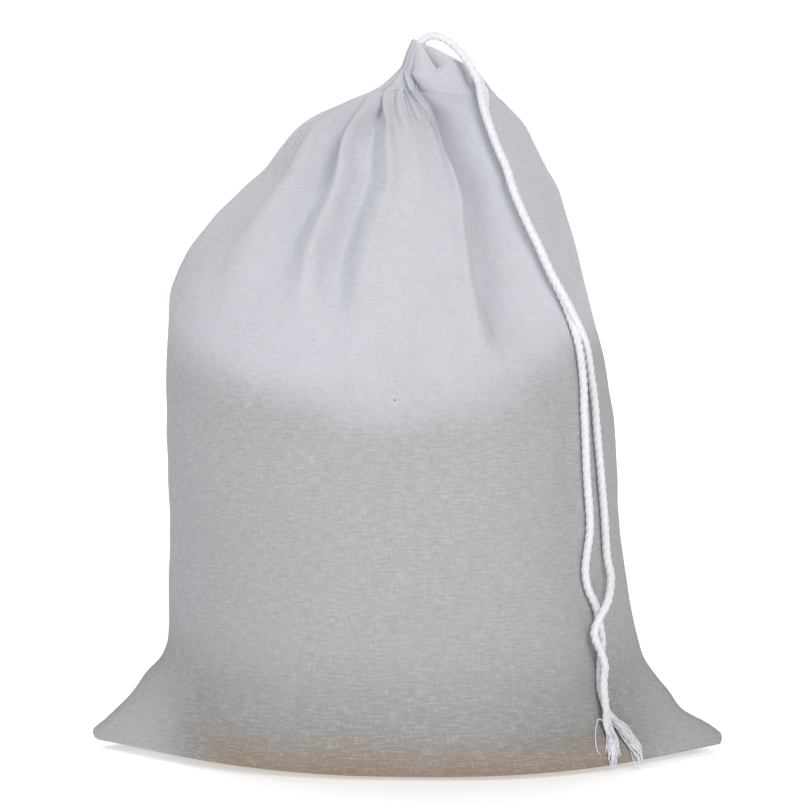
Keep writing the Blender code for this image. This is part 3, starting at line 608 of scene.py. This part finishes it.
def hemPoints(heights, narrows, outs, turns, gathers=1.0, swells=0.0):
    # rows of points round the hem, grown by outs, and by swells except in the smooth panel
    turns = np.asarray(turns, float)[None, :] % 360.0
    heights, narrows, outs = (np.asarray(value, float)[:, None] for value in (heights, narrows, outs))
    angle = drift(turns, np.ones_like(heights))
    slanted = np.exp(-(turnBetween(angle, hem["slantTurn"]) / hem["slantSpread"]) ** 2)
    angle = np.radians(angle - hem["slant"] * np.clip(heights, 0.0, hem["slantTop"]) * slanted)
    across, along = np.cos(angle), np.sin(angle)
    width = mix(bag["neckWidth"], hem["mouthWidth"], narrows) / 2 + outs
    depth = mix(bag["neckDepth"], hem["mouthDepth"], narrows) / 2 + outs
    depth = depth - np.where(along > 0, hem["backForward"] * np.clip(heights, 0.0, 1.0) ** 2 * along, 0.0)
    centre = mix(bag["neckShift"], hem["mouthShift"], narrows)
    x, y = centre + width * across, depth * along
    x = x + np.interp(heights, leftRows[:, 0], leftRows[:, 1]) * smoothStep(-across * 1.3)
    nx, ny = across * depth, along * width
    long = np.maximum(np.hypot(nx, ny), 1e-9)
    carried = foldOffset(turns, 1.0) * (1 - bag["neckFlattens"]) * (1 - smoothStep(heights * 2.2))
    carried = carried + fineOffset(turns, 1.0) * (1 - 0.8 * smoothStep(heights * 1.8))
    out = carried + gathers * ruffleOffset(turns, heights) + sharpOffset(turns, 1.0, heights)
    out = out + filletOffset(turns, heights / 0.20)
    out = out + np.reshape(swells, (-1, 1)) * (1 - 0.85 * panel(turns)) * (1 - 0.7 * smoothStep(-across))
    x, y = x + nx / long * out, y + ny / long * out
    share = (x - centre) / width
    lean = (1 - heights) * bag["neckLean"] * rightShare(share) + heights * hem["mouthLean"] * share
    z = bag["stitchHeight"] + heights * hem["rise"] - lean
    reach = reachOf(turnBetween(np.degrees(angle), hem["dipTurn"]), hem["dipLeft"], hem["dipRight"])
    z = z - hem["dip"] * heights ** 2 * np.exp(-reach ** 1.6)
    return np.stack([x, y, z], axis=-1)


def panel(turns):
    # 1 in the smooth cloth of the right front, 0 elsewhere
    return np.exp(-(turnBetween(turns, hem["panelTurn"]) / hem["panelSpread"]) ** 4)


def ruffleOffset(turns, heights):
    # small gathers along the stitches, which fade out up the hem; the right front is smooth
    uneven = turns * hem["ruffles"] + 70.0 * np.sin(np.radians(turns * 5.0))
    uneven = uneven + 50.0 * np.sin(np.radians(turns * 2.0 + 30.0))
    wave = np.abs(np.cos(np.radians(uneven / 2))) ** 1.5 - 0.6
    broad = 0.5 * np.sin(np.radians(turns * 7.0 + 40.0 * np.sin(np.radians(turns * 3.0))))
    low = smoothStep(heights * 5 + 0.35) * (1 - 0.86 * smoothStep((heights - 0.12) / 0.45))
    return hem["ruffleDepth"] * (wave * low + broad * 0.6 * smoothStep(heights * 3)) * (1 - panel(turns))


def gridNormals(points):
    across = np.roll(points, -1, axis=1) - np.roll(points, 1, axis=1)
    up = np.gradient(points, axis=0)
    normals = np.cross(across, up)
    return normals / np.maximum(np.linalg.norm(normals, axis=2, keepdims=True), 1e-12)


def meshOfRings(name, rings, uRows, vRows, closedEnds=(False, False), joined=False):
    # rings: rows x columns x 3, with the cloth's own coordinates in metres as its UV map
    rows, columns = rings.shape[:2]
    points = rings.reshape(-1, 3)
    lower = np.arange(rows if joined else rows - 1)[:, None] * columns
    upper = (lower + columns) % (rows * columns)
    i = np.arange(columns)[None, :]
    j = (i + 1) % columns
    quads = np.stack([lower + i, lower + j, upper + j, upper + i], axis=-1).reshape(-1, 4)
    faces = quads.tolist()
    uNext = np.concatenate([uRows[:, 1:], uRows[:, :1] + bag["girth"]], axis=1)
    row = np.arange(len(lower))
    nextRow = (row + 1) % rows
    corners = [(uRows[row], vRows[row]), (uNext[row], vRows[row])]
    corners += [(uNext[nextRow], vRows[nextRow]), (uRows[nextRow], vRows[nextRow])]
    uv = np.stack([np.stack(corner, axis=-1) for corner in corners], axis=2).reshape(-1, 2)
    points = points.tolist()
    extra = []
    for end, closed in enumerate(closedEnds):
        if not closed:
            continue
        ring = rings[-1 if end else 0]
        first = (rows - 1) * columns if end else 0
        points.append(ring.mean(axis=0).tolist())
        for k in range(columns):
            corners = [first + k, first + (k + 1) % columns, len(points) - 1]
            faces.append(corners if end else corners[::-1])
            u, uAfter, v = uRows[-end, k], uNext[-end, k], vRows[-end, k]
            trio = [(u, v), (uAfter, v), (u, v - 0.03)]
            extra += trio if end else trio[::-1]
    mesh = bpy.data.meshes.new(name)
    mesh.from_pydata(points, [], faces)
    layer = mesh.uv_layers.new(name="cloth")
    uv = np.concatenate([uv, np.array(extra).reshape(-1, 2)])
    layer.data.foreach_set("uv", uv.astype(np.float32).ravel())
    mesh.shade_smooth()
    mesh.set_sharp_from_angle(angle=math.radians(62.0))
    made = bpy.data.objects.new(name, mesh)
    bpy.context.scene.collection.objects.link(made)
    return made


# creases and hollows in the front of the cloth, each along a line from x, z to x, z:
# x1, z1, x2, z2, half width, depth (a minus is a ridge)
frontCreases = [
    (-0.0672, 0.0245, -0.0575, 0.0135, 0.0028, 0.0007),
    (-0.0630, 0.0260, -0.0530, 0.0160, 0.0024, -0.0004),
    (0.0630, 0.0150, 0.0690, 0.0215, 0.0022, 0.0006),
    (-0.0740, 0.0170, -0.0660, 0.0100, 0.0030, 0.0005),
    (0.0700, 0.0120, 0.0800, 0.0080, 0.0026, 0.0005),
    (-0.0180, 0.1500, -0.0250, 0.1180, 0.0040, 0.0005),
    (0.0255, 0.1480, 0.0262, 0.1240, 0.0065, 0.0004),
    (-0.0400, 0.1250, -0.0460, 0.1060, 0.0050, 0.0004),
    (-0.0620, 0.1220, -0.0300, 0.1130, 0.0040, 0.0004),
    (-0.0050, 0.1080, 0.0350, 0.1070, 0.0040, 0.0004),
]


def creasedFront(points, normals):
    x, z = points[..., 0], points[..., 2]
    offset = np.zeros(x.shape)
    for x1, z1, x2, z2, half, depth in frontCreases:
        dx, dz = x2 - x1, z2 - z1
        share = np.clip(((x - x1) * dx + (z - z1) * dz) / (dx * dx + dz * dz), 0.0, 1.0)
        away = np.hypot(x - x1 - share * dx, z - z1 - share * dz) / half
        ends = 0.35 + 0.65 * np.sin(math.pi * share) ** 0.7
        offset -= depth * np.exp(-away ** 2) * ends
    return offset * smoothStep(-normals[..., 1] * 2)


def wrinkleOffset(points, sections):
    # slack in the cloth: upright ripples in the shoulders, soft lumps over the filling
    shoulder = sections[:, 8:9]
    height = sections[:, 0:1]
    amounts = np.empty(points.shape[:2])
    ripple = np.empty(points.shape[:2])
    for row in range(points.shape[0]):
        for column, (x, y, z) in enumerate(points[row]):
            soft = noise.noise((x * 42.0, y * 42.0, z * 46.0))
            small = noise.noise((x * 120.0, y * 120.0, z * 110.0))
            amounts[row, column] = soft + 0.45 * small
            ripple[row, column] = noise.noise((x * 150.0 + 9.0, y * 150.0, z * 22.0))
    free = smoothStep((shoulder - 0.05) / 0.5)
    nearFloor = smoothStep(height / 0.012)
    return (amounts * mix(0.00045, 0.00055, free) + ripple * 0.00035 * free) * nearFloor


def buildBag():
    sections = smoothRows(bagSections(), bag["rows"])
    turns = clothTurns()
    outer = sectionPoints(sections, turns)
    normals = gridNormals(outer)
    offset = wrinkleOffset(outer, sections) + creasedFront(outer, normals)
    held = 1 - smoothStep((sections[:, 8:9] - 0.97) / 0.03)
    outer = outer + normals * (offset * held)[..., None]
    outer[..., 2] = np.maximum(outer[..., 2], 0.0)

    # inside face: the same shape, a wall further in, with fewer rows
    corner = int(np.searchsorted(sections[:, 0], bag["cornerHeight"]))
    last = len(sections) - 1
    keep = np.concatenate([np.arange(2, corner, 3), np.arange(corner, last, 9), [last]])
    inner = outer[keep] - gridNormals(outer)[keep] * bag["wall"]
    inner[0, :, 2] = bag["wall"]
    rings = np.concatenate([outer, inner[::-1]])
    u = np.broadcast_to(turns / 360.0 * bag["girth"], rings.shape[:2])
    front = outer[:, np.searchsorted(turns, 270.0)]
    lengths = np.concatenate([[0.0], np.cumsum(np.linalg.norm(np.diff(front, axis=0), axis=1))])
    v = np.concatenate([lengths, lengths[keep][::-1]])[:, None] * np.ones(rings.shape[1])
    made = meshOfRings("muslin_bag", rings, u, v, (True, True))
    made.data.materials.append(muslinFinish("muslin"))
    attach(made, "root")
    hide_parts("bag_cloth")
    return made, lengths[-1]


def buildHem(startLength):
    heights = np.linspace(0.0, 1.0, hem["rows"])
    rows = np.array(hemRows)
    narrow = np.interp(heights, rows[:, 0], rows[:, 1])
    swell = np.interp(heights, rows[:, 0], rows[:, 2])
    swell = np.convolve(np.pad(swell, 2, mode="edge"), np.ones(5) / 5, mode="valid") * hem["wall"]
    turns = clothTurns()
    outer = hemPoints(heights, narrow, np.zeros(len(heights)), turns, 1.0, swell)

    # the folded top edge, then the inside of the tunnel back down
    edge = hem["edge"] * 0.62
    rolled = []
    for part in np.linspace(0.0, math.pi, 7)[1:]:
        inward = edge / 2 * (1 - math.cos(part))
        ring = hemPoints([1.0], [1.0], [swell[-1] - inward], turns)[0]
        ring[:, 2] += edge / 2 * math.sin(part)
        rolled.append(ring)
    down = np.linspace(0.92, -0.05, 9)
    walls = [0.0030, 0.0034, 0.0052, 0.0056, 0.0044, edge]
    innerWall = np.interp(down, [-0.15, 0.0, 0.2, 0.46, 0.75, 1.0], walls)
    innerSwell = np.interp(down, rows[:, 0], rows[:, 2]) * hem["wall"]
    innerNarrow = np.interp(down, rows[:, 0], rows[:, 1])
    inner = hemPoints(down, innerNarrow, innerSwell - innerWall, turns, 0.4)
    rings = np.concatenate([outer, np.array(rolled), inner])
    u = np.broadcast_to(turns / 360.0 * bag["girth"], rings.shape[:2])
    path = rings[:, np.searchsorted(turns, 270.0)]
    v = startLength + np.concatenate([[0.0], np.cumsum(np.linalg.norm(np.diff(path, axis=0), axis=1))])
    made = meshOfRings("stitched_hem", rings, u, v[:, None] * np.ones(rings.shape[1]), joined=True)
    made.data.materials.append(muslinFinish("gathered muslin", float(v[hem["rows"]])))
    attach(made, "root")
    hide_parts("hem_casing")
    return made


def tubeMesh(name, routes, radii, around=6):
    # round tubes along several routes, in one mesh; each thins towards its end
    body = bmesh.new()
    for route, radius in zip(routes, radii):
        rings = ringsAlong(route, lambda s, angle, share: radius * (1 - 6 * max(share - 0.9, 0.0)), around)
        addTube(body, rings)
    return finishMesh(name, body)


def ringsAlong(route, radiusAt, around):
    points = [Vector(point) for point in route]
    tangent = (points[1] - points[0]).normalized()
    side = tangent.cross(Vector((0.31, 0.86, 0.4))).normalized()
    rings, travelled = [], 0.0
    total = sum((b - a).length for a, b in zip(points, points[1:]))
    for k, point in enumerate(points):
        ahead = points[min(k + 1, len(points) - 1)] - points[max(k - 1, 0)]
        tangent = ahead.normalized()
        side = (side - tangent * side.dot(tangent)).normalized()
        other = tangent.cross(side)
        ring = []
        for step in range(around):
            angle = 2 * math.pi * step / around
            radius = radiusAt(travelled, angle, travelled / total)
            ring.append(point + (side * math.cos(angle) + other * math.sin(angle)) * radius)
        rings.append(ring)
        if k + 1 < len(points):
            travelled += (points[k + 1] - point).length
    return rings


def addTube(body, rings):
    rows = [[body.verts.new(point) for point in ring] for ring in rings]
    count = len(rows[0])
    for lower, upper in zip(rows, rows[1:]):
        for i in range(count):
            j = (i + 1) % count
            body.faces.new((lower[i], lower[j], upper[j], upper[i]))
    for row, reverse in ((rows[0], True), (rows[-1], False)):
        middle = body.verts.new(sum((vert.co for vert in row), Vector()) / count)
        for i in range(count):
            corners = (row[i], row[(i + 1) % count], middle)
            body.faces.new(corners[::-1] if reverse else corners)


def finishMesh(name, body):
    mesh = bpy.data.meshes.new(name)
    body.to_mesh(mesh)
    body.free()
    mesh.shade_smooth()
    made = bpy.data.objects.new(name, mesh)
    bpy.context.scene.collection.objects.link(made)
    return made


def smoothRoute(points, step, before=None):
    points = [Vector(point) for point in points]
    ends = [before or 2 * points[0] - points[1]] + points + [2 * points[-1] - points[-2]]
    fine = []
    for p, q, r, s in zip(ends, ends[1:], ends[2:], ends[3:]):
        for i in range(16):
            t = i / 16
            fine.append(0.5 * (
                2 * q + (r - p) * t + (2 * p - 5 * q + 4 * r - s) * t ** 2
                + (3 * q - p - 3 * r + s) * t ** 3
            ))
    fine.append(points[-1])
    fine = np.array(fine)
    lengths = np.concatenate([[0.0], np.cumsum(np.linalg.norm(np.diff(fine, axis=0), axis=1))])
    goals = np.linspace(0.0, lengths[-1], max(2, round(lengths[-1] / step) + 1))
    return np.stack([np.interp(goals, lengths, fine[:, k]) for k in range(3)], axis=1)


drawstring = dict(
    diameter=0.0025, clearance=0.0005, plies=3, twist=0.0078, around=24, step=0.0007, groove=0.34,
    lengthArched=0.2447, lengthShort=0.2150, hemPoints=40,
)
# the two free tails: air is x, y and the rise over the stitch line; cloth is x, z and the
# lift from the cloth in cord diameters; yarns end on the table at x, y
tails = [
    dict(
        name="drawstring_arched", node="cord_tail_arched", fray="frayed_end_left",
        leaves=226.0, within=217.0,
        air=[
            (0.0020, -0.0008, 0.0094), (0.0035, -0.0012, 0.0130), (0.0054, -0.0022, 0.0156),
            (0.0082, -0.0036, 0.0167), (0.0117, -0.0053, 0.0157), (0.0148, -0.0072, 0.0134),
            (0.0172, -0.0092, 0.0108), (0.0196, -0.0116, 0.0075), (0.0213, -0.0130, 0.0040),
        ],
        cloth=[
            (0.0207, 0.2045, 1.50), (0.0230, 0.1985, 1.50), (0.0261, 0.1895, 1.50), (0.0292, 0.1820, 1.50),
            (0.0314, 0.1760, 1.50), (0.0348, 0.1675, 1.50), (0.0384, 0.1595, 1.50), (0.0417, 0.1515, 1.45),
            (0.0448, 0.1450, 1.40), (0.0476, 0.1390, 1.30), (0.0523, 0.1295, 0.95), (0.0547, 0.1190, 0.66),
            (0.0558, 0.1110, 0.64), (0.0565, 0.1025, 0.64), (0.0577, 0.0905, 0.64), (0.0590, 0.0755, 0.64),
            (0.0596, 0.0650, 0.70), (0.0596, 0.0580, 1.35), (0.0579, 0.0515, 1.90), (0.0552, 0.0460, 1.75),
            (0.0546, 0.0415, 1.30), (0.0564, 0.0360, 1.50), (0.0572, 0.0310, 1.70), (0.0568, 0.0265, 1.70),
            (0.0572, 0.0225, 1.60), (0.0580, 0.0185, 1.50),
        ],
        yarns=[
            (((0.0588, 0.0125, 1.4), (0.0597, 0.0080, 1.1)), (0.0602, -0.0412)),
            (((0.0606, 0.0122, 1.4), (0.0617, 0.0080, 1.1)), (0.0625, -0.0400)),
            (((0.0624, 0.0124, 1.4), (0.0638, 0.0080, 1.1)), (0.0649, -0.0387)),
        ],
    ),
    dict(
        name="drawstring_short", node="cord_tail_short", fray="frayed_end_right",
        leaves=350.5, within=357.0,
        air=[
            (0.0213, -0.0068, 0.0046), (0.0223, -0.0094, 0.0036), (0.0229, -0.0116, 0.0014),
        ],
        cloth=[
            (0.0232, 0.2030, 0.68), (0.0237, 0.1985, 0.66), (0.0268, 0.1895, 0.64), (0.0299, 0.1820, 0.64),
            (0.0321, 0.1760, 0.64), (0.0355, 0.1675, 0.64), (0.0391, 0.1595, 0.64), (0.0424, 0.1515, 0.64),
            (0.0454, 0.1450, 0.64), (0.0478, 0.1390, 0.64), (0.0508, 0.1295, 0.64), (0.0522, 0.1190, 0.64),
            (0.0525, 0.1110, 0.64), (0.0530, 0.1025, 0.64), (0.0536, 0.0905, 0.64), (0.0546, 0.0755, 0.64),
            (0.0538, 0.0670, 0.64), (0.0532, 0.0610, 0.64), (0.0542, 0.0555, 0.64), (0.0566, 0.0500, 0.64),
            (0.0578, 0.0440, 0.64), (0.0587, 0.0385, 0.64), (0.0583, 0.0340, 0.64), (0.0579, 0.0285, 0.64),
            (0.0582, 0.0230, 0.64), (0.0597, 0.0182, 0.64),
        ],
        yarns=[
            (((0.0622, 0.0128, 1.0), (0.0651, 0.0092, 1.1), (0.0679, 0.0052, 1.2)), (0.0698, -0.0352)),
            (((0.0628, 0.0135, 1.0), (0.0661, 0.0102, 1.1), (0.0691, 0.0060, 1.2)), (0.0715, -0.0344)),
            (((0.0635, 0.0142, 1.0), (0.0671, 0.0112, 1.1), (0.0704, 0.0068, 1.2)), (0.0733, -0.0336)),
        ],
    ),
]


def tunnelPoint(turn):
    # a point on the drawstring's middle inside the hem
    inset = hem["wall"] + drawstring["diameter"] / 2 + drawstring["clearance"]
    height = hem["tunnelHeight"]
    rows = np.array(hemRows)
    swell = np.interp(height, rows[:, 0], rows[:, 2]) * hem["wall"]
    narrow = np.interp(height, rows[:, 0], rows[:, 1])
    return Vector(hemPoints([height], [narrow], [-inset], [turn], 0.0, [swell])[0, 0])


class ClothFace:
    # finds the front of the finished cloth under a point seen from the front
    def __init__(self, *pieces):
        body = bmesh.new()
        for piece in pieces:
            body.from_mesh(piece.data)
        self.tree = BVHTree.FromBMesh(body)
        body.free()

    def point(self, x, z, lift):
        # the way it faces is taken over a small cross
        place, normal, arm = None, Vector(), 0.0014
        for dx, dz in ((0, 0), (arm, 0), (-arm, 0), (0, arm), (0, -arm)):
            start = Vector((x + dx, -0.3, z + dz))
            hit, facing, face, distance = self.tree.ray_cast(start, Vector((0, 1, 0)))
            if hit is None:
                continue
            if dx == 0 and dz == 0:
                place = hit
            normal += facing if facing.y < 0 else -facing
        normal.z = max(normal.z, 0.0)
        return place + normal.normalized() * lift


def tailRoute(tail, face):
    air = [Vector((x, y, bag["stitchHeight"] + rise)) for x, y, rise in tail["air"]]
    cloth = [face.point(x, z, lift * drawstring["diameter"]) for x, z, lift in tail["cloth"]]
    points = [tunnelPoint(tail["leaves"])] + air + cloth
    return smoothRoute(points, drawstring["step"], tunnelPoint(tail["within"]))


def ropeRadius(travelled, angle, share):
    radius = drawstring["diameter"] / 2
    lobe = abs(math.cos((angle - 2 * math.pi * travelled / drawstring["twist"]) * drawstring["plies"] / 2))
    return radius * (1.03 - drawstring["groove"] * (1 - lobe) ** 1.3)


def buildHemCord(finish):
    # the drawstring's stretch inside the hem, from one way out round the back to the other
    first, last = tails[0]["leaves"], tails[1]["leaves"] - 360.0
    turns = np.linspace(first, last, drawstring["hemPoints"])
    route = smoothRoute([tunnelPoint(turn) for turn in turns], drawstring["step"])
    body = bmesh.new()
    addTube(body, ringsAlong(route, ropeRadius, drawstring["around"]))
    made = finishMesh("drawstring_in_hem", body)
    made.data.materials.append(finish)
    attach(made, "root")
    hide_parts("cord_in_hem")


def buildCords(face, finish):
    routes = []
    for tail, length in zip(tails, (drawstring["lengthArched"], drawstring["lengthShort"])):
        route = tailRoute(tail, face)
        body = bmesh.new()
        addTube(body, ringsAlong(route, ropeRadius, drawstring["around"]))
        made = finishMesh(tail["name"], body)
        made.data.materials.append(finish)
        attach(made, "root")
        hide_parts(tail["node"])
        frayed = buildFray(tail, route, face, finish)
        routes.append(route)
        print(tail["name"], round(float(np.linalg.norm(np.diff(route, axis=0), axis=1).sum()), 4), "m")
    return routes


unravelled = dict(yarnDiameter=0.0013, fibres=46, fibreRadius=0.00015, gather=0.50, seed=11)


def buildFray(tail, route, face, finish):
    # the end of the tail opens into one loose bundle of fibres, spread over the three yarns' ways
    pick = random.Random(unravelled["seed"] + len(tail["name"]))
    end, along = Vector(route[-1]), (Vector(route[-1]) - Vector(route[-3])).normalized()
    ways = []
    for cloth, (floorX, floorY) in tail["yarns"]:
        way = [end - along * 0.0040, end - along * 0.0012, end + along * 0.0016]
        way += [face.point(x, z, unravelled["yarnDiameter"] * lift) for x, z, lift in cloth]
        way.append(Vector((floorX, floorY, 0.0011)))
        way = smoothRoute(way, 0.0012)
        shares = np.linspace(0.0, 1.0, 26)
        own = np.linspace(0.0, 1.0, len(way))
        ways.append(np.stack([np.interp(shares, own, way[:, k]) for k in range(3)], axis=1))
    ways = np.array(ways)
    middle = ways.mean(axis=0)
    routes, radii = [], []
    for fibre in range(unravelled["fibres"]):
        place = pick.uniform(0.0, 2.0)
        low = min(int(place), 1)
        way = mix(ways[low], ways[low + 1], place - low)
        way = mix(middle, way, unravelled["gather"] * pick.uniform(0.7, 1.25))
        start, wind, reach = pick.uniform(0, 2 * math.pi), pick.uniform(0.5, 1.4), pick.uniform(0.1, 1.0)
        stop = pick.randint(20, 26)
        path = []
        for k in range(stop):
            share = k / 25
            angle = start + wind * 2 * math.pi * share
            width = mix(0.00095, 0.0013, share) * reach
            stray = noise.noise((fibre * 3.1, k * 0.22, start)) * 0.0016 * share ** 1.5
            x = way[k][0] + math.cos(angle) * width + stray
            y = way[k][1] + math.sin(angle) * width * 0.7
            z = way[k][2] + math.sin(angle + 1.0) * width * 0.3
            path.append((x, y, max(z, 0.0004)))
        routes.append(path)
        radii.append(unravelled["fibreRadius"] * pick.uniform(0.8, 1.6))
    if tail["fray"].endswith("left"):
        # one stray thread curls away to the left, low down
        curl = [
            (0.0578, 0.0155, 1.2), (0.0571, 0.0125, 0.9), (0.0570, 0.0098, 0.8), (0.0574, 0.0075, 0.8),
            (0.0584, 0.0062, 0.9),
        ]
        path = [Vector(ways[0][9])] + [face.point(x, z, 0.0007 * lift) for x, z, lift in curl]
        routes.append(smoothRoute(path, 0.0008))
        radii.append(0.00018)
    made = tubeMesh("unravelled_" + tail["fray"].split("_")[-1], routes, radii)
    made.data.materials.append(finish)
    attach(made, "root")
    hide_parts(tail["fray"])
    return made


def buildStitches(finish):
    # the row of stitches that closes the tunnel, each a short thread between two gathers
    count = hem["stitches"]
    routes, radii = [], []
    for k in range(count):
        if panel(360.0 * (k + 0.5) / count) > 0.3:
            # the smooth panel hides its stitches
            continue
        turns = [360.0 * (k + share) / count for share in (0.08, 0.3, 0.5, 0.7, 0.92)]
        ring = hemPoints([0.05], [0.05], [0.0], turns)[0]
        outward = ring - np.array([bag["neckShift"], 0.0, 0.0])
        outward[:, 2] = 0.0
        outward /= np.linalg.norm(outward, axis=1, keepdims=True)
        lifts = np.array([-0.0003, 0.00015, 0.00028, 0.00015, -0.0003])
        routes.append(ring + outward * lifts[:, None])
        radii.append(hem["stitchWidth"] / 2)
    made = tubeMesh("hem_stitches", routes, radii)
    made.data.materials.append(finish)
    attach(made, "root")
    return made


setCamera()
setLights()
buildTable()
print("camera, lights and table set")

cordMaterial = cordFinish("twisted cotton")
bagPiece, clothLength = buildBag()
hemPiece = buildHem(clothLength)
print("cloth built:", len(bagPiece.data.polygons), "and", len(hemPiece.data.polygons), "faces")

clothFace = ClothFace(bagPiece, hemPiece)
buildHemCord(cordMaterial)
buildCords(clothFace, cordMaterial)
stitchPiece = buildStitches(cordFinish("sewing thread", (0.74, 0.73, 0.73, 1.0)))
print("drawstring and stitches built")
